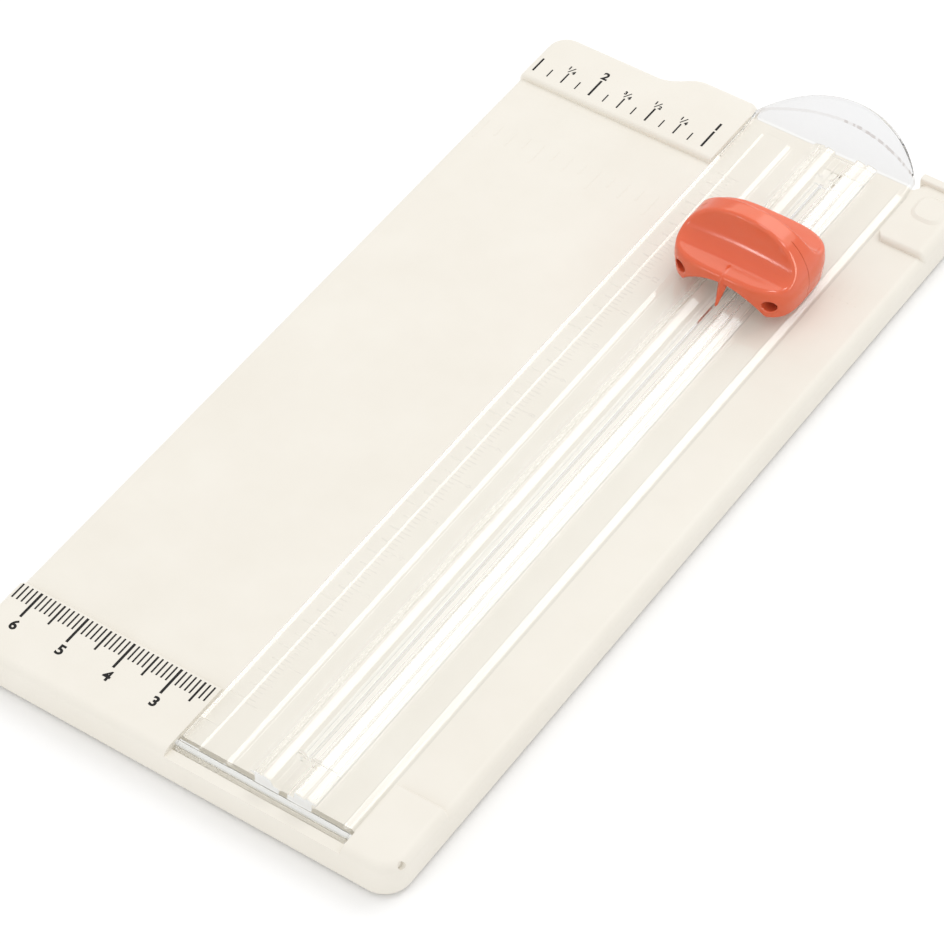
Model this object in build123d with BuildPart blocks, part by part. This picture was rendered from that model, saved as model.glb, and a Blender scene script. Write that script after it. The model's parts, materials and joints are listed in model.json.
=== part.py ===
"""Small sliding-blade paper trimmer: flat base tray, clear hinged guide rail, press-down slider.

Positions below are given from three natural lines of the object and shifted into the
part's frame: x from the cutting line, y from the front ruler line, z from the top of
the ledges.  The frame's origin is at the bottom centre of the whole trimmer.
"""
import os
from build123d import *

os.makedirs("parts", exist_ok=True)

# ------------------------------------------------------------------ driving dimensions (mm)
LEFT_X = -65.4          # left side of the base
RIGHT_X = 24.2          # right side of the base
FRONT_Y = -15.75        # front face of the base
BACK_Y = 170.7          # back face of the base beside the rail
BACK_LEFT_Y = 166.95    # back face of the base on the far left
NOTCH_Y = 167.5         # back face under the lift tab
TAB_Y = 176.5           # tip of the lift tab
BED_Y0, BED_Y1 = 0.75, 152.6   # paper channel between the ledges
BED_Z = -1.25           # paper bed below the ledge tops
BASE_Z = -7.5           # underside of the base walls
FLOOR_Z = -8.2          # underside of the rubber feet
STRIP_Z = -2.85         # floor of the cutting strip groove

RAIL_X0, RAIL_X1 = -21.4, 13.3  # clear rail, across
RAIL_GAP = 0.6          # side gap between the rail and the ledges
RAIL_Z = -1.1           # underside of the rail, a paper gap over the bed
RAIL_Y0, RAIL_Y1 = -12.2, 165.0  # track, front and back ends
STOP_Y0, STOP_Y1 = -5.4, 157.2   # end stops of the slider
WING_Z = 0.6            # top of the ruler wing
FLOOR_CH = 0.0          # floor of the side channels
LIP_X, WEB_X = 6.8, 5.8 # half widths of the track lip and of the web below it
LIP_Z, TRACK_Z = 2.15, 3.0
HINGE_Y, HINGE_Z = -12.2, -1.0
BARREL_R, TROUGH_R, PIN_R = 1.3, 1.5, 0.5

SLIDER_Y = 130.45       # parting plane of the slider as it stands
GRIP_A = 12.9           # half width of the grip across the rail
GRIP_FRONT, GRIP_BACK = 9.3, 10.65  # depth of its front and back halves
GRIP_Z0, GRIP_ZC, GRIP_ZT = 1.3, 5.0, 16.45
SHELF_Z = 7.75
PRESS = 0.6             # press travel of the grip

OX = -(LEFT_X + RIGHT_X) / 2
OY = -(FRONT_Y + TAB_Y) / 2
OZ = -FLOOR_Z


def at(x, y, z=0.0):
    """A point given from the cutting line, the front ruler line and the ledge tops."""
    return (x + OX, y + OY, z + OZ)


def block(x0, x1, y0, y1, z0, z1, mode=Mode.ADD):
    with Locations(at((x0 + x1) / 2, (y0 + y1) / 2, (z0 + z1) / 2)):
        Box(x1 - x0, y1 - y0, z1 - z0, mode=mode)


def rod_x(x0, x1, y, z, r, mode=Mode.ADD):
    with Locations(Location(at((x0 + x1) / 2, y, z), (0, 90, 0))):
        Cylinder(r, x1 - x0, mode=mode)


def rod_y(x, y0, y1, z, r, mode=Mode.ADD):
    with Locations(Location(at(x, (y0 + y1) / 2, z), (90, 0, 0))):
        Cylinder(r, y1 - y0, mode=mode)


def rod_z(x, y, z0, z1, r, mode=Mode.ADD):
    with Locations(at(x, y, (z0 + z1) / 2)):
        Cylinder(r, z1 - z0, mode=mode)


def plan(z):
    return Plane(origin=at(0, 0, z))


def section(y):
    """Cross-section plane: sketch x is across, sketch y is up, extrudes towards the front."""
    return Plane(origin=at(0, y, 0), x_dir=(1, 0, 0), z_dir=(0, -1, 0))


def side(x):
    """Side plane: sketch x is along the rail, sketch y is up, extrudes to the right."""
    return Plane(origin=at(x, 0, 0), x_dir=(0, 1, 0), z_dir=(1, 0, 0))


# plan outline of the base, with the swept shoulder on the left of the back edge
OUTLINE = [(-43.0, BACK_LEFT_Y), (LEFT_X, BACK_LEFT_Y), (LEFT_X, FRONT_Y), (RIGHT_X, FRONT_Y), (RIGHT_X, BACK_Y),
           (RAIL_X1 + 0.6, BACK_Y), (RAIL_X1 + 0.6, NOTCH_Y), (RAIL_X0 - 0.6, NOTCH_Y),
           (RAIL_X0 - 0.6, BACK_Y), (-33.5, BACK_Y)]


def round_outline(sk):
    def near(x, y):
        return sk.vertices().sort_by_distance((x, y, 0))[0]
    for (x, y, r) in ((LEFT_X, BACK_LEFT_Y, 4.2), (LEFT_X, FRONT_Y, 4.2), (RIGHT_X, FRONT_Y, 5.0),
                      (RIGHT_X, BACK_Y, 6.0), (RAIL_X1 + 0.6, BACK_Y, 1.9), (RAIL_X0 - 0.6, BACK_Y, 1.95),
                      (RAIL_X1 + 0.6, NOTCH_Y, 1.0), (RAIL_X0 - 0.6, NOTCH_Y, 1.0)):
        fillet(near(x, y), r)


# ------------------------------------------------------------------ base tray
# One ledge blank the shape of the base; the bed is then cut across it.
with BuildPart() as ledges:
    with BuildSketch(plan(BED_Z - 2.6)) as ledge_plan:
        with BuildLine():
            Polyline(*OUTLINE)
            Spline(OUTLINE[-1], OUTLINE[0], tangents=[(-1, 0), (-1, 0)])
        make_face()
        round_outline(ledge_plan)
    extrude(amount=-BED_Z + 2.6)
    fillet(ledges.faces().sort_by(Axis.Z)[-1].edges(), 1.75)
    block(LEFT_X - 5, RIGHT_X + 5, BED_Y0, BED_Y1, BED_Z - 4, 1, mode=Mode.SUBTRACT)
    inner = [e for e in ledges.edges().filter_by(Axis.X)
             if abs(e.center().Z - OZ) < 0.01 and (abs(e.center().Y - OY - BED_Y0) < 0.01 or abs(e.center().Y - OY - BED_Y1) < 0.01)]
    fillet(inner, 0.8)

with BuildPart() as back_lip:
    with BuildSketch(plan(-2.2)):
        with Locations((16.78, 169.7)):
            RectangleRounded(6.25, 1.8, 0.4)
    extrude(amount=3.1)
    fillet(back_lip.faces().sort_by(Axis.Z)[-1].edges(), 0.35)

with BuildPart() as base_tray:
    with BuildSketch(plan(BASE_Z)) as tray_plan:
        with BuildLine():
            Polyline(*OUTLINE)
            Spline(OUTLINE[-1], OUTLINE[0], tangents=[(-1, 0), (-1, 0)])
        make_face()
        round_outline(tray_plan)
    extrude(amount=BED_Z - BASE_Z)
    fillet(base_tray.faces().sort_by(Axis.Z)[-1].edges(), 1.6)
    fillet(base_tray.faces().sort_by(Axis.Z)[0].edges(), 0.8)
    add(ledges.part)
    # seat of the rail through both ledges, and the hinge trough at the front
    rx0, rx1 = RAIL_X0 - RAIL_GAP, RAIL_X1 + RAIL_GAP
    block(rx0, rx1, BED_Y1 - 1, BACK_Y + 5, BED_Z, 2, mode=Mode.SUBTRACT)
    block(rx0, rx1, FRONT_Y - 2, BED_Y0 + 1, BED_Z, 2, mode=Mode.SUBTRACT)
    rod_x(rx0, rx1, HINGE_Y, HINGE_Z, TROUGH_R, mode=Mode.SUBTRACT)
    # corner relief beside the rail at the back ledge
    with BuildSketch(plan(BED_Z)):
        with BuildLine():
            Polyline((rx1 - 0.1, BED_Y1 - 0.1), (rx1 + 1.1, BED_Y1 - 0.1), (rx1 - 0.1, BED_Y1 + 1.6), close=True)
        make_face()
    extrude(amount=3, mode=Mode.SUBTRACT)
    # groove for the cutting strip
    block(-4.0, 4.0, -3.0, 163.0, STRIP_Z, BED_Z + 0.5, mode=Mode.SUBTRACT)
    # raised pad beside the lift tab
    with BuildSketch(plan(-0.1)):
        with Locations((19.2, 163.3)):
            RectangleRounded(6.8, 7.2, 2.6)
    extrude(amount=0.55, taper=58)
    # raised lip along the back edge on the right of the tab
    add(back_lip.part)
    # hinge pin bore, closed at the left, with a plug seat in the right side
    rod_x(-27.5, RIGHT_X + 1, HINGE_Y, HINGE_Z, PIN_R, mode=Mode.SUBTRACT)
    rod_x(21.85, RIGHT_X + 1, HINGE_Y, HINGE_Z, 0.7, mode=Mode.SUBTRACT)
    # hollow underside with cross ribs
    pocket_h = 3.7
    for (cx, w, ny, y0, y1) in ((-48.7, 25.6, 5, -1.0, 150.0), (-21.4, 25.6, 5, -1.0, 150.0), (15.4, 14.0, 5, -1.0, 150.0)):
        pitch = (y1 - y0) / ny
        with BuildSketch(plan(BASE_Z)):
            with Locations((cx, (y0 + y1) / 2)):
                with GridLocations(0, pitch, 1, ny):
                    RectangleRounded(w, pitch - 1.8, 2.0)
        extrude(amount=pocket_h, mode=Mode.SUBTRACT)
    # seats of the four feet
    for fx, fy in ((-55.5, -6.8), (17.6, -6.8), (-55.5, 158.0), (16.6, 158.5)):
        rod_z(fx, fy, BASE_Z - 1, BASE_Z + 1.0, 4.05, mode=Mode.SUBTRACT)
base_tray.part.label = "base_tray"
export_step(base_tray.part, "parts/base_tray.step")

# ------------------------------------------------------------------ cutting strip
with BuildPart() as cutting_strip:
    block(-3.95, 3.95, -2.9, 162.9, STRIP_Z, BED_Z)
    block(-0.45, 0.45, -2.9 - 1, 162.9 + 1, BED_Z - 0.7, BED_Z + 1, mode=Mode.SUBTRACT)
cutting_strip.part.label = "cutting_strip"
export_step(cutting_strip.part, "parts/cutting_strip.step")

# ------------------------------------------------------------------ hinge pin and plug
with BuildPart() as hinge_pin:
    rod_x(-27.3, 21.7, HINGE_Y, HINGE_Z, PIN_R)
    chamfer(hinge_pin.edges().filter_by(GeomType.CIRCLE), 0.12)
hinge_pin.part.label = "hinge_pin"
export_step(hinge_pin.part, "parts/hinge_pin.step")

with BuildPart() as hinge_plug:
    rod_x(21.9, 23.25, HINGE_Y, HINGE_Z, 0.65)
    chamfer(hinge_plug.edges().filter_by(GeomType.CIRCLE).sort_by(Axis.X)[-1], 0.15)
hinge_plug.part.label = "hinge_plug"
export_step(hinge_plug.part, "parts/hinge_plug.step")

# ------------------------------------------------------------------ rubber feet
for foot_name, fx, fy in (("foot_front_left", -55.5, -6.8), ("foot_front_right", 17.6, -6.8),
                          ("foot_back_left", -55.5, 158.0), ("foot_back_right", 16.6, 158.5)):
    with BuildPart() as foot:
        rod_z(fx, fy, FLOOR_Z, BASE_Z + 1.0, 4.0)
        chamfer(foot.edges().filter_by(GeomType.CIRCLE).sort_by(Axis.Z)[0], 0.3)
    foot.part.label = foot_name
    export_step(foot.part, f"parts/{foot_name}.step")

# ------------------------------------------------------------------ clear guide rail
tab_x = (RAIL_X0 + RAIL_X1) / 2
with BuildPart() as lift_tab:
    # upswept plate, seen from the side
    with BuildSketch(side(RAIL_X0)):
        with BuildLine():
            Spline((160.6, WING_Z), (163.0, WING_Z), (TAB_Y, 5.0), tangents=[(1, 0), (1, 0.42)])
            Line((TAB_Y, 5.0), (TAB_Y, 3.3))
            Spline((TAB_Y, 3.3), (163.6, RAIL_Z), (160.6, RAIL_Z), tangents=[(-1, -0.42), (-1, 0)])
            Line((160.6, RAIL_Z), (160.6, WING_Z))
        make_face()
    extrude(amount=RAIL_X1 - RAIL_X0)
    # round thumb end, seen from above
    with BuildSketch(plan(-5)):
        with BuildLine():
            ThreePointArc((RAIL_X0, 167.6), (tab_x, TAB_Y), (RAIL_X1, 167.6))
            Polyline((RAIL_X1, 167.6), (RAIL_X1, 163.4), (RAIL_X0, 163.4), (RAIL_X0, 167.6))
        make_face()
    extrude(amount=20, mode=Mode.INTERSECT)

# the tab's face is sunk a little inside a raised rim along its round edge
RIM = 0.45
with BuildPart() as tab_sink:
    with BuildSketch(side(RAIL_X0)):
        with BuildLine():
            Spline((160.6, WING_Z - RIM), (163.0, WING_Z - RIM), (TAB_Y, 5.0 - RIM), tangents=[(1, 0), (1, 0.42)])
            Polyline((TAB_Y, 5.0 - RIM), (TAB_Y, 9.0), (160.6, 9.0), (160.6, WING_Z - RIM))
        make_face()
    extrude(amount=RAIL_X1 - RAIL_X0)
    with BuildSketch(plan(-5)):
        with BuildLine():
            ThreePointArc((RAIL_X0 + 1.0, 167.4), (tab_x, 171.6), (RAIL_X1 - 1.0, 167.4))
            Polyline((RAIL_X1 - 1.0, 167.4), (RAIL_X1 - 1.0, 165.8), (RAIL_X0 + 1.0, 165.8), (RAIL_X0 + 1.0, 167.4))
        make_face()
    extrude(amount=20, mode=Mode.INTERSECT)

with BuildPart() as guide_rail:
    with BuildSketch(section(RAIL_Y1)):
        with BuildLine():
            Polyline((RAIL_X0, RAIL_Z), (RAIL_X0, 0.25), (RAIL_X0 + 0.35, WING_Z), (-17.35, WING_Z), (-16.95, 0.47),
                     (-12.3, 0.47), (-11.9, WING_Z), (-10.9, 0.24), (-10.75, FLOOR_CH),
                     (-WEB_X, FLOOR_CH), (-WEB_X, LIP_Z), (-LIP_X, LIP_Z), (-LIP_X, 2.45), (-4.65, TRACK_Z),
                     (-4.55, 2.45), (-4.2, 2.45), (-4.1, 2.95), (-2.35, 2.55), (-2.1, 1.3),
                     (2.1, 1.3), (2.35, 2.95), (4.1, 2.55), (4.2, 2.4), (4.55, 2.4), (4.65, TRACK_Z),
                     (LIP_X, 2.45), (LIP_X, LIP_Z), (WEB_X, LIP_Z), (WEB_X, FLOOR_CH),
                     (11.55, FLOOR_CH), (11.8, WING_Z), (12.9, 0.2), (RAIL_X1, 0.1), (RAIL_X1, RAIL_Z), close=True)
        make_face()
    extrude(amount=RAIL_Y1 - RAIL_Y0)
    add(lift_tab.part)
    add(tab_sink.part, mode=Mode.SUBTRACT)
    # bevelled ruler edge on the left of the wing
    with BuildSketch(section(154.0)):
        with BuildLine():
            Polyline((RAIL_X0 - 0.2, WING_Z + 0.2), (RAIL_X0 - 0.2, 0.4), (RAIL_X0 + 0.1, 0.4), (RAIL_X0 + 0.65, 0.18),
                     (-17.6, 0.4), (-17.35, WING_Z + 0.01), (-17.35, WING_Z + 0.2), close=True)
        make_face()
    extrude(amount=160.5, mode=Mode.SUBTRACT)
    # hinge barrel under the front end
    rod_x(RAIL_X0, RAIL_X1, HINGE_Y, HINGE_Z, BARREL_R)
    rod_x(RAIL_X0 - 1, RAIL_X1 + 1, HINGE_Y, HINGE_Z, PIN_R + 0.05, mode=Mode.SUBTRACT)
    # blade slot, pointer groove, and the relief under the track
    block(-0.8, 0.8, -3.2, 158.5, RAIL_Z - 1, 5, mode=Mode.SUBTRACT)
    block(-0.8, 0.8, RAIL_Y0 - 1, RAIL_Y1 - 0.6, 0.35, 5, mode=Mode.SUBTRACT)
    block(-2.6, 2.6, -3.2, 158.5, RAIL_Z - 1, -0.2, mode=Mode.SUBTRACT)
    # end stops of the slider
    for y0 in (STOP_Y0, STOP_Y1):
        for x0 in (-2.2, 0.85):
            block(x0, x0 + 1.35, y0, y0 + 1.1, 1.0, 2.6)
guide_rail.part.label = "guide_rail"
export_step(guide_rail.part, "parts/guide_rail.step")

# ------------------------------------------------------------------ slide shoe
with BuildPart() as slide_shoe:
    block(-6.6, 6.6, SLIDER_Y - 6.0, SLIDER_Y + 6.0, TRACK_Z + 0.05, 4.6)
    fillet(slide_shoe.edges().filter_by(Axis.Z), 0.8)
    block(-1.85, 1.85, SLIDER_Y - 5.6, SLIDER_Y + 5.6, 1.5, 3.5)
    block(-0.7, 0.7, SLIDER_Y - 4.4, SLIDER_Y + 4.4, 0, 6, mode=Mode.SUBTRACT)
    for sx in (-4.4, 4.4):
        rod_z(sx, SLIDER_Y, 3.6, 5.0, 1.6, mode=Mode.SUBTRACT)
slide_shoe.part.label = "slide_shoe"
export_step(slide_shoe.part, "parts/slide_shoe.step")

# ------------------------------------------------------------------ grip halves
HOLE_X, HOLE_Z, HOLE_R = 9.42, 4.3, 1.3
ARCH_X, ARCH_Z = 9.69, 5.9     # round opening of the end walls, half width at z = 0 and height


def grip_half(depth, corner, pointer):
    """The front half; the back half is made the same way, deeper and without the pointer, and turned round."""
    with BuildPart() as half:
        # rounded block seen from above
        with BuildSketch(plan(GRIP_Z0)):
            with Locations((0, SLIDER_Y)):
                RectangleRounded(2 * GRIP_A, 2 * depth, corner)
        extrude(amount=GRIP_ZT - GRIP_Z0)
        # arch seen from the front
        with BuildSketch(section(SLIDER_Y + 14)):
            with BuildLine():
                EllipticalCenterArc((0, GRIP_ZC), GRIP_A, GRIP_ZT - GRIP_ZC, start_angle=0, arc_size=180)
                Polyline((-GRIP_A, GRIP_ZC), (-GRIP_A + 0.4, GRIP_Z0), (GRIP_A - 0.4, GRIP_Z0), (GRIP_A, GRIP_ZC))
            make_face()
        extrude(amount=28, mode=Mode.INTERSECT)
        # rounded over seen from the side
        with BuildSketch(side(-20)):
            with BuildLine():
                EllipticalCenterArc((SLIDER_Y, GRIP_ZC), depth, GRIP_ZT - GRIP_ZC + 0.05, start_angle=0, arc_size=180)
                Polyline((SLIDER_Y - depth, GRIP_ZC), (SLIDER_Y - depth, 0), (SLIDER_Y + depth, 0), (SLIDER_Y + depth, GRIP_ZC))
            make_face()
        extrude(amount=40, mode=Mode.INTERSECT)
        # thumb scoop with its front shelf, open at both ends
        with BuildSketch(side(-16)):
            with BuildLine():
                dish = EllipticalCenterArc((SLIDER_Y - 6.9, 16.17), 5.0, 16.17 - SHELF_Z, start_angle=270, arc_size=102)
                Polyline(dish @ 0, (SLIDER_Y - 14, SHELF_Z), (SLIDER_Y - 14, 22), (SLIDER_Y - 2.05, 22), dish @ 1)
            make_face()
        extrude(amount=32, mode=Mode.SUBTRACT)
        # keep the front half
        block(-20, 20, SLIDER_Y, SLIDER_Y + 20, -5, 30, mode=Mode.SUBTRACT)
        # opening over the track, chamber for the shoe, slot for springs and holder
        with BuildSketch(section(SLIDER_Y - 6.0)):
            with BuildLine():
                ThreePointArc((-ARCH_X, 0), (0, ARCH_Z), (ARCH_X, 0))
                Line((ARCH_X, 0), (-ARCH_X, 0))
            make_face()
        extrude(amount=20, mode=Mode.SUBTRACT)
        block(-7.4, 7.4, SLIDER_Y - 6.4, SLIDER_Y + 1, 0, 7.0, mode=Mode.SUBTRACT)
        block(-6.2, 6.2, SLIDER_Y - 1.6, SLIDER_Y + 1, 5, 11.75, mode=Mode.SUBTRACT)
        # seats of the runners
        for s in (-1, 1):
            block(min(s * 7.0, s * 7.95), max(s * 7.0, s * 7.95), SLIDER_Y - 5.6, SLIDER_Y + 1, 0, 5.2, mode=Mode.SUBTRACT)
        # screw hole on the right, thread hole and core on the left
        rod_y(HOLE_X, SLIDER_Y - 13, SLIDER_Y - 3.0, HOLE_Z, HOLE_R, mode=Mode.SUBTRACT)
        rod_y(HOLE_X, SLIDER_Y - 4, SLIDER_Y + 1, HOLE_Z, 0.85, mode=Mode.SUBTRACT)
        rod_y(-HOLE_X, SLIDER_Y - 13, SLIDER_Y - 4.5, HOLE_Z, HOLE_R, mode=Mode.SUBTRACT)
        rod_y(-HOLE_X, SLIDER_Y - 3.2, SLIDER_Y + 1, HOLE_Z, 0.75, mode=Mode.SUBTRACT)
        # pointer fin at the cutting line
        if pointer:
            with BuildSketch(plan(SHELF_Z - 0.2)):
                with BuildLine():
                    Polyline((0, SLIDER_Y - depth - 0.2), (1.4, SLIDER_Y - depth + 1.8), (-1.4, SLIDER_Y - depth + 1.8), close=True)
                make_face()
            with BuildSketch(plan(1.7)):
                with BuildLine():
                    Polyline((0, SLIDER_Y - depth - 1.9), (0.28, SLIDER_Y - depth - 1.2), (-0.28, SLIDER_Y - depth - 1.2), close=True)
                make_face()
            loft()
    return half.part


grip_front = grip_half(GRIP_FRONT, 6.6, True)
grip_front.label = "grip_front"
export_step(grip_front, "parts/grip_front.step")

grip_back = grip_half(GRIP_BACK, 7.2, False).rotate(Axis(at(0, SLIDER_Y, 0), (0, 0, 1)), 180)
grip_back.label = "grip_back"
export_step(grip_back, "parts/grip_back.step")

# ------------------------------------------------------------------ grip screws
with BuildPart() as grip_screws:
    for s in (1, -1):
        y_head0, y_head1 = sorted((SLIDER_Y - s * 3.8, SLIDER_Y - s * 3.0))
        y_sh0, y_sh1 = sorted((SLIDER_Y - s * 3.0, SLIDER_Y + s * 2.9))
        rod_y(s * HOLE_X, y_head0, y_head1, HOLE_Z, 1.25)
        rod_y(s * HOLE_X, y_sh0, y_sh1, HOLE_Z, 0.74)
grip_screws.part.label = "grip_screws"
export_step(grip_screws.part, "parts/grip_screws.step")

# ------------------------------------------------------------------ runners that hook under the track lips
for runner_name, s in (("runner_left", -1), ("runner_right", 1)):
    with BuildPart() as runner:
        def sx(a, b):
            return (min(s * a, s * b), max(s * a, s * b))
        block(*sx(7.0, 7.93), SLIDER_Y - 5.5, SLIDER_Y + 5.5, 1.2, 5.1)
        block(*sx(6.1, 7.5), SLIDER_Y - 5.5, SLIDER_Y + 5.5, 1.2, 2.0)
    runner.part.label = runner_name
    export_step(runner.part, f"parts/{runner_name}.step")

# ------------------------------------------------------------------ blade holder, blade, pin
with BuildPart() as blade_holder:
    block(-2.1, 2.1, SLIDER_Y - 4.4, SLIDER_Y + 4.4, 5.7, 6.95)
    block(-2.1, 2.1, SLIDER_Y - 1.55, SLIDER_Y + 1.55, 6.5, 10.95)
    block(-0.23, 0.23, SLIDER_Y - 3.6, SLIDER_Y + 3.6, 5, 9.6, mode=Mode.SUBTRACT)
    rod_x(-3, 3, SLIDER_Y, 8.2, 0.62, mode=Mode.SUBTRACT)
blade_holder.part.label = "blade_holder"
export_step(blade_holder.part, "parts/blade_holder.step")

with BuildPart() as blade:
    with BuildSketch(side(-0.2)):
        with BuildLine():
            Polyline((SLIDER_Y - 3.4, 6.9), (SLIDER_Y - 3.4, 1.8), (SLIDER_Y - 0.4, -1.0), (SLIDER_Y + 0.4, -1.0),
                     (SLIDER_Y + 3.4, 1.8), (SLIDER_Y + 3.4, 6.9), (SLIDER_Y + 1.4, 6.9), (SLIDER_Y + 1.4, 9.5),
                     (SLIDER_Y - 1.4, 9.5), (SLIDER_Y - 1.4, 6.9), close=True)
        make_face()
        with Locations((SLIDER_Y, 8.2)):
            Circle(0.62, mode=Mode.SUBTRACT)
    extrude(amount=0.4)
blade.part.label = "blade"
export_step(blade.part, "parts/blade.step")

with BuildPart() as blade_pin:
    rod_x(-2.1, 2.1, SLIDER_Y, 8.2, 0.6)
blade_pin.part.label = "blade_pin"
export_step(blade_pin.part, "parts/blade_pin.step")

# ------------------------------------------------------------------ return springs
SPRING_R, WIRE_R, SPRING_Z0, SPRING_Z1 = 1.15, 0.17, 3.65, 10.95
for spring_name, sxx in (("spring_left", -4.4), ("spring_right", 4.4)):
    with BuildPart() as spring:
        with BuildLine() as coil:
            Helix(pitch=1.15, height=SPRING_Z1 - SPRING_Z0 - 2 * WIRE_R, radius=SPRING_R,
                  center=at(sxx, SLIDER_Y, SPRING_Z0 + WIRE_R))
        with BuildSketch(Plane(origin=coil.line @ 0, z_dir=coil.line % 0)):
            Circle(WIRE_R)
        sweep(path=coil.line, is_frenet=True)
    spring.part.label = spring_name
    export_step(spring.part, f"parts/{spring_name}.step")
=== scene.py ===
import bpy
import bmesh
import json
import math
import numpy as np
from mathutils import Matrix, Vector


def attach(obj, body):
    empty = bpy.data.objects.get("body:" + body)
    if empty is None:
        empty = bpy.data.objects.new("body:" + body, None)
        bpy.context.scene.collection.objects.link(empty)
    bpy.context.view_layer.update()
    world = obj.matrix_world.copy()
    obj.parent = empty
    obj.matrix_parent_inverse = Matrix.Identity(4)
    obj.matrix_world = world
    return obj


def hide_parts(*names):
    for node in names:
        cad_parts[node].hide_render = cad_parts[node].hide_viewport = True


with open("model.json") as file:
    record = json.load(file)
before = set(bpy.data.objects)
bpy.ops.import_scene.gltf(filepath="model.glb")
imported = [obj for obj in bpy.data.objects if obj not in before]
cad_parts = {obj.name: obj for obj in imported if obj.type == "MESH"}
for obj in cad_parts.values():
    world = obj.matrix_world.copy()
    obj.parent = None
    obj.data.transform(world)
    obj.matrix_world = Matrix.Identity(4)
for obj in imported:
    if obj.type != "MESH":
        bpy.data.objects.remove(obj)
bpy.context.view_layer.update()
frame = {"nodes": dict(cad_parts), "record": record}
nodes = frame["nodes"]

# ------------------------------------------------------------------ shared frame
# Positions are written in millimetres from the cutting line (x), the front ruler
# line (y) and the ledge tops (z), as in the construction, and shifted here.
OX, OY, OZ = 20.6, -80.375, 8.2


def P(x, y, z=0.0):
    return ((x + OX) * 1e-3, (y + OY) * 1e-3, (z + OZ) * 1e-3)


def PV(a):
    a = np.asarray(a, float).reshape(-1, 3)
    return (a + np.array([OX, OY, OZ])) * 1e-3


scene = bpy.context.scene

# ------------------------------------------------------------------ camera
cam_data = bpy.data.cameras.new("camera")
cam = bpy.data.objects.new("camera", cam_data)
scene.collection.objects.link(cam)
cam_data.sensor_width = 36.0
cam_data.lens = 156.71
cam_data.clip_start = 0.01
cam_data.clip_end = 50.0
right = (0.82284, 0.56789, -0.02114)
up = (-0.41235, 0.62225, 0.66542)
back = (0.39103, -0.53881, 0.74617)
eye = P(265.99, -323.33, 535.60)
cam.matrix_world = Matrix(((right[0], up[0], back[0], eye[0]),
                           (right[1], up[1], back[1], eye[1]),
                           (right[2], up[2], back[2], eye[2]),
                           (0, 0, 0, 1)))
scene.camera = cam


# ------------------------------------------------------------------ node helpers
def new_mat(name):
    m = bpy.data.materials.new(name)
    m.use_nodes = True
    nt = m.node_tree
    for n in list(nt.nodes):
        nt.nodes.remove(n)
    out = nt.nodes.new("ShaderNodeOutputMaterial")
    return m, nt, out


def link(nt, a, b):
    nt.links.new(a, b)


def noise(nt, vec, scale, detail=2.0, rough=0.5):
    n = nt.nodes.new("ShaderNodeTexNoise")
    n.inputs["Scale"].default_value = scale
    n.inputs["Detail"].default_value = detail
    n.inputs["Roughness"].default_value = rough
    link(nt, vec, n.inputs["Vector"])
    return n


def ramp(nt, fac, stops):
    r = nt.nodes.new("ShaderNodeValToRGB")
    e = r.color_ramp.elements
    while len(e) < len(stops):
        e.new(0.5)
    for i, (p, c) in enumerate(stops):
        e[i].position = p
        e[i].color = (*c, 1.0)
    link(nt, fac, r.inputs["Fac"])
    return r


def map_range(nt, fac, a, b, lo=0.0, hi=1.0):
    m = nt.nodes.new("ShaderNodeMapRange")
    m.inputs["From Min"].default_value = lo
    m.inputs["From Max"].default_value = hi
    m.inputs["To Min"].default_value = a
    m.inputs["To Max"].default_value = b
    link(nt, fac, m.inputs["Value"])
    return m


def bump(nt, height, strength, distance, normal=None):
    b = nt.nodes.new("ShaderNodeBump")
    b.inputs["Strength"].default_value = strength
    b.inputs["Distance"].default_value = distance
    link(nt, height, b.inputs["Height"])
    if normal is not None:
        link(nt, normal, b.inputs["Normal"])
    return b


def plastic(name, dark, light, rough=(0.36, 0.46), grain=2600.0, grain_h=0.000006, coat=0.0, coat_rough=0.2,
            sss=0.0, sss_radius=(0.002, 0.0012, 0.0008), spec=0.5, mottle=70.0, ior=1.5):
    """Moulded plastic: faint colour drift, fine spark-eroded grain, a little gloss variation."""
    m, nt, out = new_mat(name)
    co = nt.nodes.new("ShaderNodeTexCoord")
    b = nt.nodes.new("ShaderNodeBsdfPrincipled")
    n1 = noise(nt, co.outputs["Object"], mottle, 3.0, 0.55)
    col = ramp(nt, n1.outputs["Fac"], [(0.3, dark), (0.7, light)])
    link(nt, col.outputs["Color"], b.inputs["Base Color"])
    n2 = noise(nt, co.outputs["Object"], mottle * 4.0, 4.0, 0.6)
    r = map_range(nt, n2.outputs["Fac"], rough[0], rough[1], 0.3, 0.7)
    link(nt, r.outputs["Result"], b.inputs["Roughness"])
    g = noise(nt, co.outputs["Object"], grain, 3.0, 0.6)
    bp = bump(nt, g.outputs["Fac"], 1.0, grain_h)
    link(nt, bp.outputs["Normal"], b.inputs["Normal"])
    b.inputs["IOR"].default_value = ior
    b.inputs["Specular IOR Level"].default_value = spec
    b.inputs["Coat Weight"].default_value = coat
    b.inputs["Coat Roughness"].default_value = coat_rough
    if sss > 0:
        b.inputs["Subsurface Weight"].default_value = sss
        b.inputs["Subsurface Radius"].default_value = sss_radius
        b.inputs["Subsurface Scale"].default_value = 1.0
    link(nt, b.outputs["BSDF"], out.inputs["Surface"])
    return m


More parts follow.
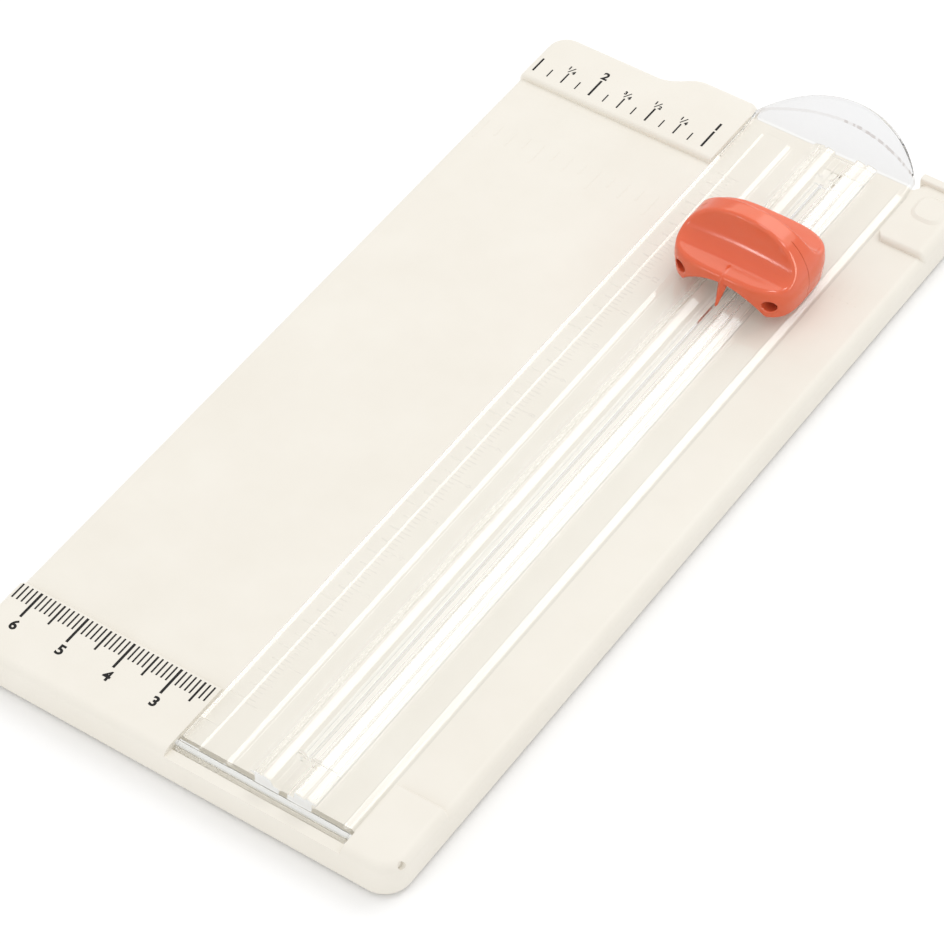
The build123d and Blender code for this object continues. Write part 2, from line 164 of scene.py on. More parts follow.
def steel(name, colour, rough=(0.22, 0.4), stretch=(1, 1, 1), scale=900.0):
    m, nt, out = new_mat(name)
    co = nt.nodes.new("ShaderNodeTexCoord")
    mp = nt.nodes.new("ShaderNodeMapping")
    mp.inputs["Scale"].default_value = stretch
    link(nt, co.outputs["Object"], mp.inputs["Vector"])
    b = nt.nodes.new("ShaderNodeBsdfPrincipled")
    b.inputs["Metallic"].default_value = 1.0
    n1 = noise(nt, mp.outputs["Vector"], scale, 4.0, 0.6)
    col = ramp(nt, n1.outputs["Fac"], [(0.25, tuple(c * 0.88 for c in colour)), (0.75, colour)])
    link(nt, col.outputs["Color"], b.inputs["Base Color"])
    r = map_range(nt, n1.outputs["Fac"], rough[0], rough[1], 0.3, 0.7)
    link(nt, r.outputs["Result"], b.inputs["Roughness"])
    bp = bump(nt, n1.outputs["Fac"], 1.0, 0.000004)
    link(nt, bp.outputs["Normal"], b.inputs["Normal"])
    link(nt, b.outputs["BSDF"], out.inputs["Surface"])
    return m


def clear(name, tint=(0.997, 0.997, 0.995), rough=(0.0, 0.03), wave=0.000002, bend=1.14, shine=1.5):
    """Clear moulded polystyrene over a pale bed: light passes with a slight bend, and the outer skin reflects as polished plastic."""
    m, nt, out = new_mat(name)
    co = nt.nodes.new("ShaderNodeTexCoord")
    b = nt.nodes.new("ShaderNodeBsdfPrincipled")
    b.inputs["Base Color"].default_value = (*tint, 1.0)
    b.inputs["Transmission Weight"].default_value = 1.0
    b.inputs["IOR"].default_value = bend
    n1 = noise(nt, co.outputs["Object"], 160.0, 2.0, 0.5)
    r = map_range(nt, n1.outputs["Fac"], rough[0], rough[1], 0.35, 0.65)
    link(nt, r.outputs["Result"], b.inputs["Roughness"])
    n2 = noise(nt, co.outputs["Object"], 420.0, 2.0, 0.5)
    bp = bump(nt, n2.outputs["Fac"], 1.0, wave)
    link(nt, bp.outputs["Normal"], b.inputs["Normal"])
    # reflection of the outer skin
    gl = nt.nodes.new("ShaderNodeBsdfAnisotropic")
    gl.inputs["Roughness"].default_value = 0.1
    link(nt, bp.outputs["Normal"], gl.inputs["Normal"])
    fr = nt.nodes.new("ShaderNodeFresnel")
    fr.inputs["IOR"].default_value = shine
    link(nt, bp.outputs["Normal"], fr.inputs["Normal"])
    geo = nt.nodes.new("ShaderNodeNewGeometry")
    front = map_range(nt, geo.outputs["Backfacing"], 1.0, 0.0)
    outer = nt.nodes.new("ShaderNodeMath")
    outer.operation = "MULTIPLY"
    link(nt, fr.outputs["Fac"], outer.inputs[0])
    link(nt, front.outputs["Result"], outer.inputs[1])
    skin = nt.nodes.new("ShaderNodeMixShader")
    link(nt, outer.outputs["Value"], skin.inputs["Fac"])
    link(nt, b.outputs["BSDF"], skin.inputs[1])
    link(nt, gl.outputs["BSDF"], skin.inputs[2])
    # shadow and bounce light pass straight through
    tr = nt.nodes.new("ShaderNodeBsdfTransparent")
    tr.inputs["Color"].default_value = (0.985, 0.986, 0.983, 1.0)
    lp = nt.nodes.new("ShaderNodeLightPath")
    either = nt.nodes.new("ShaderNodeMath")
    either.operation = "MAXIMUM"
    link(nt, lp.outputs["Is Shadow Ray"], either.inputs[0])
    link(nt, lp.outputs["Is Diffuse Ray"], either.inputs[1])
    mx = nt.nodes.new("ShaderNodeMixShader")
    link(nt, either.outputs["Value"], mx.inputs["Fac"])
    link(nt, skin.outputs["Shader"], mx.inputs[1])
    link(nt, tr.outputs["BSDF"], mx.inputs[2])
    link(nt, mx.outputs["Shader"], out.inputs["Surface"])
    return m


def frost(name, colour, alpha):
    """Fine moulded marks in the clear plastic: a faint matt veil."""
    m, nt, out = new_mat(name)
    co = nt.nodes.new("ShaderNodeTexCoord")
    b = nt.nodes.new("ShaderNodeBsdfPrincipled")
    n1 = noise(nt, co.outputs["Object"], 900.0, 2.0, 0.5)
    col = ramp(nt, n1.outputs["Fac"], [(0.3, tuple(c * 0.94 for c in colour)), (0.7, colour)])
    link(nt, col.outputs["Color"], b.inputs["Base Color"])
    r = map_range(nt, n1.outputs["Fac"], 0.5, 0.65, 0.3, 0.7)
    link(nt, r.outputs["Result"], b.inputs["Roughness"])
    bp = bump(nt, n1.outputs["Fac"], 1.0, 0.000005)
    link(nt, bp.outputs["Normal"], b.inputs["Normal"])
    al = map_range(nt, n1.outputs["Fac"], alpha * 0.85, alpha * 1.15, 0.3, 0.7)
    link(nt, al.outputs["Result"], b.inputs["Alpha"])
    link(nt, b.outputs["BSDF"], out.inputs["Surface"])
    return m


IVORY = plastic("ivory_moulded", (0.80, 0.76, 0.68), (0.825, 0.788, 0.712), rough=(0.38, 0.5), spec=0.4)
CORAL = plastic("coral_moulded", (0.65, 0.108, 0.042), (0.675, 0.118, 0.047), rough=(0.11, 0.15),
                grain_h=0.0000008, sss=0.08, sss_radius=(0.0016, 0.0005, 0.0002))
WHITE = plastic("acetal_white", (0.74, 0.74, 0.72), (0.80, 0.80, 0.78), rough=(0.32, 0.42))
STRIP = plastic("strip_off_white", (0.85, 0.82, 0.75), (0.88, 0.85, 0.78), rough=(0.5, 0.6))
RUBBER = plastic("foot_grey_rubber", (0.30, 0.29, 0.27), (0.36, 0.35, 0.33), rough=(0.7, 0.85), grain_h=0.00002)
STEEL = steel("zinc_steel", (0.62, 0.62, 0.62))
SPRING = steel("spring_wire", (0.5, 0.5, 0.5), stretch=(1, 1, 0.2))
BLADE = steel("ground_blade", (0.66, 0.67, 0.68), rough=(0.15, 0.3), stretch=(1, 0.15, 1))
CLEAR = clear("clear_polystyrene")
# grey copy of the clear plastic for the thick tab: painted shade standing in for the grey that light passing through
# the tab shows
CLEAR_TAB_GREY_SHADE = clear("clear_thick_tab_painted_grey", tint=(0.845, 0.845, 0.85), rough=(0.02, 0.09), wave=0.000008, bend=1.16)
# darker copies of the clear plastic for the tab's inner arc: a painted shade line, and painted dark glints standing in
# for reflections along the arc
CLEAR_ARC_SHADE = clear("clear_tab_edge_painted_shade", tint=(0.74, 0.72, 0.71), bend=1.12)
CLEAR_ARC_DARK_GLINT = clear("clear_tab_edge_painted_dark_glints", tint=(0.5, 0.45, 0.43), bend=1.12)
CLEAR_END = plastic("clear_end_frosted", (0.80, 0.80, 0.785), (0.84, 0.84, 0.825), rough=(0.35, 0.45))
# darker copy of the clear plastic for the steep walls: painted shade standing in for the grey lines along clear edges
CLEAR_WALL_SHADE = clear("clear_upright_wall_painted_shade", tint=(0.88, 0.875, 0.865))
FROST = frost("moulded_marks", (0.72, 0.65, 0.61), 0.055)
INK = plastic("black_print", (0.008, 0.0075, 0.007), (0.014, 0.013, 0.012), rough=(0.5, 0.62), grain_h=0.000004, spec=0.25)

SLOT_MAT = {"ivory_plastic": IVORY, "clear_plastic": CLEAR, "coral_plastic": CORAL, "white_plastic": WHITE,
            "strip_plastic": STRIP, "steel": STEEL, "spring_steel": SPRING, "blade_steel": BLADE, "foot_rubber": RUBBER}
for sp in frame["record"]["subparts"]:
    o = nodes[sp["node"]]
    o.data.materials.clear()
    o.data.materials.append(SLOT_MAT[sp["material_slot"]])

# ------------------------------------------------------------------ surfaces from distance fields
def smax(a, b, k):
    h = np.clip(0.5 + 0.5 * (a - b) / k, 0.0, 1.0)
    return b + (a - b) * h + k * h * (1.0 - h)


def smin(a, b, k):
    return -smax(-a, -b, k)


def unit(g, x, y, z, e=0.02):
    """An implicit function scaled to an approximate distance in millimetres."""
    g0 = g(x, y, z)
    gx, gy, gz = g(x + e, y, z) - g0, g(x, y + e, z) - g0, g(x, y, z + e) - g0
    return g0 * e / np.sqrt(gx * gx + gy * gy + gz * gz + 1e-14)


def gradient(f, p, e=0.01):
    x, y, z = p[:, 0], p[:, 1], p[:, 2]
    return np.stack([f(x + e, y, z) - f(x - e, y, z), f(x, y + e, z) - f(x, y - e, z),
                     f(x, y, z + e) - f(x, y, z - e)], axis=1) / (2 * e)


def surface_nets(f, xs, ys, zs, steps=4):
    """Quads of the zero surface of f on a rectilinear grid, with points moved onto the surface.
    Returns points, quads, unit normals and the cell index of each point."""
    X, Y, Z = np.meshgrid(xs, ys, zs, indexing="ij")
    V = f(X, Y, Z)
    S = V < 0
    axes = (xs, ys, zs)
    nx, ny, nz = V.shape
    acc = np.zeros((nx - 1, ny - 1, nz - 1, 3))
    cnt = np.zeros((nx - 1, ny - 1, nz - 1))
    G = (X, Y, Z)

    def corner(A, c):
        return A[c[0]:nx - 1 + c[0], c[1]:ny - 1 + c[1], c[2]:nz - 1 + c[2]]

    for ax in range(3):
        others = [k for k in range(3) if k != ax]
        for u in (0, 1):
            for v in (0, 1):
                a = [0, 0, 0]
                a[others[0]], a[others[1]] = u, v
                b = list(a)
                b[ax] = 1
                va, vb = corner(V, a), corner(V, b)
                cross = (va < 0) != (vb < 0)
                t = va[cross] / (va[cross] - vb[cross])
                for k in range(3):
                    pa, pb = corner(G[k], a)[cross], corner(G[k], b)[cross]
                    acc[cross, k] += pa + t * (pb - pa)
                cnt[cross] += 1
    active = cnt > 0
    index = -np.ones(active.shape, int)
    index[active] = np.arange(active.sum())
    p = acc[active] / cnt[active][:, None]
    cell = np.argwhere(active)
    quads = []
    for ax in range(3):
        o1, o2 = [(1, 2), (2, 0), (0, 1)][ax]
        s0 = [slice(1, -1)] * 3
        s1 = [slice(1, -1)] * 3
        s0[ax], s1[ax] = slice(0, -1), slice(1, None)
        A, B = S[tuple(s0)], S[tuple(s1)]
        for inside_first in (True, False):
            hit = np.argwhere((A != B) & (A == inside_first))
            if len(hit) == 0:
                continue
            base = hit + 1
            base[:, ax] -= 1

            def c(d1, d2):
                q = base.copy()
                q[:, o1] += d1
                q[:, o2] += d2
                return index[q[:, 0], q[:, 1], q[:, 2]]
            loop = [c(-1, -1), c(0, -1), c(0, 0), c(-1, 0)]
            if not inside_first:
                loop = loop[::-1]
            quads.append(np.stack(loop, axis=1))
    quads = np.concatenate(quads)
    size = np.array([np.diff(a).min() for a in axes])
    for _ in range(steps):
        g = gradient(f, p)
        d = f(p[:, 0], p[:, 1], p[:, 2])
        move = -d[:, None] * g / np.maximum((g * g).sum(1), 0.05)[:, None]
        lim = 0.6 * size.min()
        length = np.linalg.norm(move, axis=1)
        move *= np.minimum(1.0, lim / np.maximum(length, 1e-9))[:, None]
        p = p + move
    g = gradient(f, p)
    nrm = g / np.maximum(np.linalg.norm(g, axis=1), 1e-9)[:, None]
    return p, quads, nrm, cell


def mesh_object(name, verts, faces, loop_normals=None, mat=None):
    me = bpy.data.meshes.new(name)
    me.from_pydata([tuple(v) for v in verts], [], [tuple(int(i) for i in f) for f in faces])
    me.update()
    for pl in me.polygons:
        pl.use_smooth = True
    if loop_normals is not None:
        me.normals_split_custom_set([tuple(n) for n in loop_normals])
    o = bpy.data.objects.new(name, me)
    scene.collection.objects.link(o)
    if mat is not None:
        me.materials.append(mat)
    return o


# ------------------------------------------------------------------ slider grip
SLIDER_Y = 130.45


def grip_field(x, y, z):
    """The whole grip, y from its parting plane: rounded body, two open thumb scoops with the ridge between them,
    arch over the track, chamber, screw holes, pointer fins."""
    ax, ay = np.abs(x), np.abs(y)
    depth = np.where(y < 0, 9.3, 10.65)

    def body(x, y, z):
        t = np.clip(5.0 - z, 0.0, None)
        dp = np.where(y < 0, 9.3, 10.65)
        pl = ((np.abs(x) / (12.9 - 0.1 * t)) ** 3.55 + (np.abs(y) / (dp - 0.05 * t)) ** 3.55 + 1e-12) ** (1 / 3.55)
        return (pl ** 2.19 + (np.clip(z - 5.0, 0.0, None) / 11.45) ** 2.19 + 1e-12) ** (1 / 2.19) - 1.0

    def scoop(x, y, z):
        qx = np.clip(np.abs(x) - 10.6, 0.0, None) / 3.4
        qy = np.clip(6.89 - np.abs(y), 0.0, None) / (4.99 - 0.0042 * np.minimum(np.abs(x), 13.0) ** 2)
        qz = np.clip(16.17 - z, 0.0, None) / (7.96 + 0.5 * np.exp(-np.clip(9.3 - np.abs(y), 0.0, None) / 2.6))
        return (qx ** 2.69 + qy ** 2.69 + qz ** 2.69 + 1e-9) ** (1 / 2.69) - 1.0

    d = smax(unit(body, x, y, z), 1.3 - z, 0.6)
    d = smax(d, -unit(scoop, x, y, z), 0.75)
    # round opening of the end walls over the track
    d = smax(d, -np.maximum(np.hypot(x, z + 5.0) - 10.9, 6.0 - ay), 0.3)
    # chamber, slot and runner seats inside
    d = np.maximum(d, -np.maximum(np.maximum(ax - 7.4, ay - 6.4), z - 7.0))
    d = np.maximum(d, -np.maximum(np.maximum(ax - 6.2, ay - 1.6), z - 11.75))
    d = np.maximum(d, -np.maximum(np.maximum(np.abs(ax - 7.475) - 0.475, ay - 5.6), z - 5.2))
    # screw holes and cores
    yy = np.where(x > 0, y, -y)
    rad = np.hypot(ax - 9.42, z - 4.3)
    d = smax(d, -np.maximum(rad - 1.3, yy + 3.0), 0.3)
    d = np.maximum(d, -np.maximum(np.maximum(rad - 0.85, yy), -4.0 - yy))
    d = np.maximum(d, -np.maximum(np.maximum(rad - 0.75, yy - 3.2), -yy))
    d = smax(d, -np.maximum(rad - 1.3, 4.5 - yy), 0.3)
    # pointer fin of the front half and the fine crest that runs back from it over the shelf
    apex = depth + 0.2 + (7.55 - z) * 0.29
    back = depth - 1.8 + (7.55 - z) * 0.513
    fin = smax((ax - 0.72 * (apex - ay)) * 0.81, ax - 0.2 - np.clip(z - 1.65, 0.0, None) * 0.2, 0.15)
    fin = np.maximum(np.maximum(fin, back - ay), np.maximum(np.maximum(d - 0.16 - np.clip(7.2 - z, 0.0, None), z - 7.45), 1.65 - z))
    crest = 0.11 * np.exp(-(x / 0.26) ** 2) * np.clip((ay - depth + 3.3) / 2.6, 0.0, 1.0) * np.clip(z - 5.6, 0.0, 1.0)
    d = d - np.where(y < 0, crest, 0.0)
    return smin(d, fin + np.clip(y, 0.0, 1.0) * 5.0, 0.12)


def build_grip(h=0.18):
    """Both halves from one field; the layer of points on the parting plane is shared, then each half is closed."""
    def steps(a, b):
        n = int(math.ceil((b - a) / h))
        return a + h * np.arange(n + 1)
    xs, zs = steps(-13.5, 13.5), steps(0.8, 17.0)
    n = int(math.ceil(13.1 / h))
    ys = (np.arange(2 * n + 2) - n - 0.5) * h
    p, quads, nrm, cell = surface_nets(grip_field, xs, ys, zs)
    seam = cell[:, 1] == n
    # put the seam layer exactly on the parting plane
    p[seam, 1] = 0.0
    for _ in range(4):
        q = p[seam]
        g = gradient(grip_field, q)
        g[:, 1] = 0.0
        d = grip_field(q[:, 0], q[:, 1], q[:, 2])
        mv = -d[:, None] * g / np.maximum((g * g).sum(1), 0.05)[:, None]
        ln = np.linalg.norm(mv, axis=1)
        mv *= np.minimum(1.0, 0.12 / np.maximum(ln, 1e-9))[:, None]
        p[seam] = q + mv
    nrm[seam] = gradient(grip_field, p[seam])
    nrm /= np.maximum(np.linalg.norm(nrm, axis=1), 1e-9)[:, None]
    lay = cell[:, 1][quads]
    halves = []
    for name, side, keep in (("grip_shell_front", -1, (lay.min(1) < n) & (lay.max(1) <= n)),
                             ("grip_shell_back", 1, (lay.max(1) > n) & (lay.min(1) >= n))):
        f = quads[keep]
        used = np.unique(f)
        remap = -np.ones(len(p), int)
        remap[used] = np.arange(len(used))
        v, nn, sm = p[used].copy(), nrm[used], seam[used]
        f = remap[f]
        # the visible parting line low on both ends opens by a hair
        open_line = sm & (np.abs(v[:, 0]) > 8.8) & (v[:, 2] < 14.7)
        v[open_line, 1] += side * 0.05
        me = bpy.data.meshes.new(name)
        me.from_pydata([tuple(a) for a in v], [], [tuple(int(i) for i in a) for a in f])
        bm = bmesh.new()
        bm.from_mesh(me)
        edges = [e for e in bm.edges if e.is_boundary]
        shell_faces = len(bm.faces)
        bmesh.ops.triangle_fill(bm, use_beauty=True, edges=edges)
        bm.faces.ensure_lookup_table()
        faces = [[w.index for w in fc.verts] for fc in bm.faces]
        bm.free()
        bpy.data.meshes.remove(me)
        normals = []
        out_faces = []
        for i, fc in enumerate(faces):
            if i >= shell_faces:
                a, b, c = (v[fc[k]] for k in range(3))
                if np.cross(b - a, c - a)[1] * -side < 0:
                    fc = fc[::-1]
                normals += [(0.0, -side * 1.0, 0.0)] * len(fc)
            else:
                normals += [nn[k] for k in fc]
            out_faces.append(fc)
        o = mesh_object(name, PV(v + np.array([0.0, SLIDER_Y, 0.0])), out_faces, normals, CORAL)
        halves.append(o)
    return halves


grip_front, grip_back = build_grip()
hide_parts("grip_front")
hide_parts("grip_back")
for o in (grip_front, grip_back):
    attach(o, "grip")

# ------------------------------------------------------------------ clear rail
RAIL_X0, RAIL_X1 = -21.4, 13.3
SECTION = [(-21.4, -1.1), (-21.4, 0.25), (-21.05, 0.6), (-17.4, 0.6), (-16.8, 0.44), (-12.3, 0.44), (-11.9, 0.6), (-10.9, 0.24),
           (-10.75, 0.0), (-5.8, 0.0), (-5.8, 2.15), (-6.8, 2.15), (-6.8, 2.45), (-4.65, 3.0), (-4.55, 2.45), (-4.2, 2.45),
           (-4.1, 2.95), (-2.35, 2.55), (-2.1, 1.3), (2.1, 1.3), (2.35, 2.95), (4.1, 2.55), (4.2, 2.4), (4.55, 2.4), (4.65, 3.0),
           (6.8, 2.45), (6.8, 2.15), (5.8, 2.15), (5.8, 0.0), (11.55, 0.0), (11.8, 0.6), (12.9, 0.2), (13.3, 0.1), (13.3, -1.1)]


def polygon_distance(px, pz, pts):
    d = np.full(px.shape, 1e9)
    sign = np.ones(px.shape)
    for i in range(len(pts)):
        (x0, z0), (x1, z1) = pts[i], pts[(i + 1) % len(pts)]
        ex, ez = x1 - x0, z1 - z0
        wx, wz = px - x0, pz - z0
        t = np.clip((wx * ex + wz * ez) / (ex * ex + ez * ez), 0.0, 1.0)
        d = np.minimum(d, (wx - ex * t) ** 2 + (wz - ez * t) ** 2)
        c1, c2, c3 = pz >= z0, pz < z1, ex * wz > ez * wx
        sign = np.where((c1 & c2 & c3) | (~c1 & ~c2 & ~c3), -sign, sign)
    return sign * np.sqrt(d)


class Section:
    """The rail's cross-section as a table of distances, softened so that its edges are slightly rounded."""

    def __init__(self, pts, x0, x1, z0, z1, step, soft):
        self.x0, self.z0, self.step = x0, z0, step
        gx = np.arange(x0, x1, step)
        gz = np.arange(z0, z1, step)
        GX, GZ = np.meshgrid(gx, gz, indexing="ij")
        T = polygon_distance(GX, GZ, pts)
        n = int(math.ceil(3 * soft / step))
        k = np.exp(-0.5 * (np.arange(-n, n + 1) * step / soft) ** 2)
        k /= k.sum()
        for ax in (0, 1):
            pad = [(0, 0), (0, 0)]
            pad[ax] = (n, n)
            Q = np.pad(T, pad, mode="edge")
            T = sum(k[i] * np.take(Q, np.arange(i, i + T.shape[ax]), axis=ax) for i in range(2 * n + 1))
        self.T = T

    def __call__(self, x, z):
        u = np.clip((x - self.x0) / self.step, 0, self.T.shape[0] - 1.001)
        v = np.clip((z - self.z0) / self.step, 0, self.T.shape[1] - 1.001)
        i, j = u.astype(int), v.astype(int)
        a, b = u - i, v - j
        T = self.T
        return T[i, j] * (1 - a) * (1 - b) + T[i + 1, j] * a * (1 - b) + T[i, j + 1] * (1 - a) * b + T[i + 1, j + 1] * a * b


rail_section = Section(SECTION, -24.0, 16.0, -7.0, 7.0, 0.04, 0.11)


def box3(x, y, z, x0, x1, y0, y1, z0, z1):
    return np.maximum(np.maximum(np.maximum(x0 - x, x - x1), np.maximum(y0 - y, y - y1)), np.maximum(z0 - z, z - z1))


def rail_field(x, y, z):
    d = smax(rail_section(x, z), np.maximum(-12.2 - y, y - 165.0), 0.3)
    # bevelled ruler edge on the left of the wing, with a narrow rim along its outside
    cut = np.maximum(np.maximum(0.46 - np.clip(x + 21.3, 0.0, None) * 0.33, 0.2 + (x + 20.5) * 0.0698) - z, (x + 17.47) * 0.8 - (z - 0.5) * 0.5)
    bevel = np.maximum(np.maximum(cut, x + 17.35), np.maximum(-6.5 - y, y - 154.0))
    d = smax(d, -bevel, 0.1)
    # upswept round tab with its raised rim
    s = np.clip((y - 163.0) / 13.5, 0.0, 1.1)
    up = 4.4 * (1.71 * s ** 2 - 0.71 * s ** 3)
    tab = np.maximum(z - 0.6 - up, -1.1 + up - z) * 0.92
    outer = np.where(y > 155.14, np.hypot(x + 4.05, y - 155.14) - 21.36, np.abs(x + 4.05) - 21.36)
    outer = np.maximum(outer, np.abs(x + 4.05) - 17.35)
    tab = smax(smax(tab, outer, 0.5), 163.4 - y, 0.2)
    sink = np.maximum(np.hypot(x + 4.05, y - 138.58) - 33.92, np.maximum(np.abs(x + 4.05) - 16.5, 163.9 - y))
    sink = np.maximum(sink, (0.6 - 0.55 * np.clip((y - 164.2) / 4.5, 0.0, 1.0) + up - z) * 0.92)
    tab = smax(tab, -sink, 0.2)
    d = smin(d, tab, 0.25)
    # hinge barrel under the front end
    rad = np.hypot(y + 12.2, z + 1.0)
    barrel = smax(rad - 1.3, np.maximum(RAIL_X0 - x, x - RAIL_X1), 0.25)
    d = smin(d, barrel, 0.4)
    d = np.maximum(d, 0.55 - rad)
    # pointer groove, blade slot, relief under the track
    d = smax(d, -np.maximum(np.maximum(np.abs(x) - 0.8, 0.35 - z), y - 164.4), 0.14)
    d = np.maximum(d, -np.maximum(np.abs(x) - 0.8, np.maximum(-3.2 - y, y - 158.5)))
    d = np.maximum(d, -np.maximum(np.maximum(np.abs(x) - 2.6, z + 0.2), np.maximum(-3.2 - y, y - 158.5)))
    # end stops of the slider, low in the groove
    for y0 in (-5.4, 157.2):
        for x0 in (-2.2, 0.85):
            d = smin(d, box3(x, y, z, x0, x0 + 1.35, y0, y0 + 1.1, 1.0, 2.6), 0.1)
    return d


def build_rail():
    def run(*parts):
        return np.concatenate([np.arange(a, b - 1e-6, st) for a, b, st in parts])
    xs = run((-21.9, 13.9, 0.1))
    ys = run((-14.2, -2.4, 0.2), (-2.4, 152.0, 5.0), (152.0, 177.6, 0.3))
    zs = run((-2.8, 3.4, 0.1), (3.4, 5.9, 0.2))
    p, quads, nrm, cell = surface_nets(rail_field, xs, ys, zs)
    o = mesh_object("clear_rail", PV(p), quads, [nrm[k] for q in quads for k in q], CLEAR)
    o.data.materials.append(CLEAR_TAB_GREY_SHADE)
    o.data.materials.append(CLEAR_ARC_SHADE)
    o.data.materials.append(CLEAR_ARC_DARK_GLINT)
    o.data.materials.append(CLEAR_END)
    o.data.materials.append(CLEAR_WALL_SHADE)
    mid, up = p[quads].mean(1), nrm[quads].mean(1)[:, 2]
    # faces of the tab's inner arc get painted shade, broken by a sine pattern into painted dark glints
    inner = (np.abs(up) < 0.72) & (np.abs(np.hypot(mid[:, 0] + 4.05, mid[:, 1] - 138.58) - 33.92) < 0.6) & (mid[:, 1] > 167.0)
    # the tab region gets the grey painted-shade copy
    tint = mid[:, 1] > np.where(up < 0, 167.3, 165.8)
    shade = np.sin(2.3 * mid[:, 0]) + np.sin(3.9 * mid[:, 0] + 1.0) - 0.02 * (mid[:, 0] - 3.0) ** 2
    # steep outer and slot walls get the painted-shade wall copy
    wall = (np.abs(up) < 0.35) & ((mid[:, 0] < -21.2) | (mid[:, 0] > 13.1) | (np.abs(np.abs(mid[:, 0]) - 5.8) < 0.2))
    end = (nrm[quads].mean(1)[:, 1] < -0.6) & (mid[:, 1] < -11.5) & (mid[:, 2] > 0.2)
    kind = np.where(inner, np.where(shade > -0.6, 3, 2), np.where(tint, 1, np.where(end, 4, np.where(wall, 5, 0))))
    o.data.polygons.foreach_set("material_index", kind.astype(np.int32))
    return o


rail = build_rail()
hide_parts("guide_rail")
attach(rail, "rail")


# ------------------------------------------------------------------ print and moulded marks
def bar(x0, x1, y0, y1, z0, z1):
    v = [(x0, y0, z0), (x1, y0, z0), (x1, y1, z0), (x0, y1, z0), (x0, y0, z1), (x1, y0, z1), (x1, y1, z1), (x0, y1, z1)]
    f = [(3, 2, 1, 0), (4, 5, 6, 7), (0, 1, 5, 4), (1, 2, 6, 5), (2, 3, 7, 6), (3, 0, 4, 7)]
    return v, f


def slant(xa, ya, xb, yb, w, z0, z1):
    """A straight stroke from one point to another."""
    n = np.array([-(yb - ya), xb - xa], float)
    n *= 0.5 * w / np.linalg.norm(n)
    c = [(xa - n[0], ya - n[1]), (xa + n[0], ya + n[1]), (xb + n[0], yb + n[1]), (xb - n[0], yb - n[1])]
    v = [(x, y, z0) for x, y in c] + [(x, y, z1) for x, y in c]
    return v, [(0, 1, 2, 3), (7, 6, 5, 4), (0, 4, 5, 1), (1, 5, 6, 2), (2, 6, 7, 3), (3, 7, 4, 0)]


GLYPHS = {}


def glyph(ch, x, y, height, z0, z1, turn=0.0, bold=0.036):
    """A numeral from the built-in face, centred at x, y, with its cap height set."""
    key = (ch, bold)
    if key not in GLYPHS:
        cu = bpy.data.curves.new("numeral", "FONT")
        cu.body = ch
        cu.size = 1.0
        cu.offset = bold
        cu.extrude = 0.5
        cu.resolution_u = 5
        o = bpy.data.objects.new("numeral", cu)
        scene.collection.objects.link(o)
        me = bpy.data.meshes.new_from_object(o.evaluated_get(bpy.context.evaluated_depsgraph_get()))
        bm = bmesh.new()
        bm.from_mesh(me)
        bmesh.ops.remove_doubles(bm, verts=bm.verts, dist=1e-5)
        bm.verts.index_update()
        v = np.array([w.co[:] for w in bm.verts])
        f = [[w.index for w in fc.verts] for fc in bm.faces]
        bm.free()
        bpy.data.meshes.remove(me)
        bpy.data.objects.remove(o)
        bpy.data.curves.remove(cu)
        lo, hi = v.min(0), v.max(0)
        v = (v - (lo + hi) / 2) / (hi[1] - lo[1])
        v[:, 2] = np.where(v[:, 2] > 0, 1.0, 0.0)
        GLYPHS[key] = (v, f)
    v, f = GLYPHS[key]
    c, s = math.cos(turn), math.sin(turn)
    px, py = v[:, 0] * height, v[:, 1] * height
    return np.stack([x + c * px - s * py, y + s * px + c * py, z0 + (z1 - z0) * v[:, 2]], axis=1), f


def fraction(num, den, x, y, h, z0, z1):
    return [glyph(num, x - 0.36 * h, y + 0.24 * h, 0.56 * h, z0, z1, bold=0.06),
            slant(x - 0.26 * h, y - 0.46 * h, x + 0.26 * h, y + 0.46 * h, 0.13 * h, z0, z1),
            glyph(den, x + 0.38 * h, y - 0.24 * h, 0.56 * h, z0, z1, bold=0.06)]


def joined(name, bits, mat, body, flat=True):
    V, F, n = [], [], 0
    for v, f in bits:
        V += [tuple(a) for a in v]
        F += [tuple(int(i) + n for i in a) for a in f]
        n += len(v)
    o = mesh_object(name, PV(V), F, None, mat)
    for pl in o.data.polygons:
        pl.use_smooth = not flat
    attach(o, body)
    return o


Z0, Z1 = -0.06, 0.012
bits = []
for k in range(23, 65):
    w, ln = (0.52, 6.1) if k % 10 == 0 else (0.42, 4.8) if k % 5 == 0 else (0.33, 3.4)
    bits.append(bar(-k - w / 2, -k + w / 2, -ln, 0.0, Z0, Z1))
for k in (3, 4, 5, 6):
    bits.append(glyph(str(k), -10.0 * k + 0.25, -8.0, 2.3, Z0, Z1))
joined("front_scale_print", bits, INK, "base")

bits = []
for k in range(8, 21):
    w, ln = (0.46, 4.7) if k % 8 == 0 else (0.40, 3.9) if k % 4 == 0 else (0.33, 3.0) if k % 2 == 0 else (0.27, 2.2)
    x = -25.4 * k / 8
    bits.append(bar(x - w / 2, x + w / 2, 154.6, 154.6 + ln, Z0, Z1))
bits += [glyph("1", -25.4, 160.75, 2.1, Z0, Z1), glyph("2", -50.8, 160.75, 2.1, Z0, Z1)]
for k, num, den in ((10, "1", "4"), (12, "1", "2"), (14, "3", "4"), (18, "1", "4")):
    ln = 3.9 if k % 4 == 0 else 3.0
    bits += fraction(num, den, -25.4 * k / 8, 154.6 + ln + 1.05, 1.75, Z0, Z1)
joined("back_scale_print", bits, INK, "base")

# very faint raised ticks moulded into the bed near the back ledge
bits = []
for k in range(8, 21):
    x = -25.4 * k / 8
    ln = 5.6 if k % 4 == 0 else 4.2 if k % 2 == 0 else 3.0
    bits.append(bar(x - 0.22, x + 0.22, 139.8 - ln, 139.8, -1.3, -1.215))
for x in (14.9, 16.5, 18.1, 19.7):
    bits.append(bar(x - 0.22, x + 0.22, 135.6, 139.8, -1.3, -1.215))
bed_ticks = joined("bed_ticks", bits, IVORY, "base")

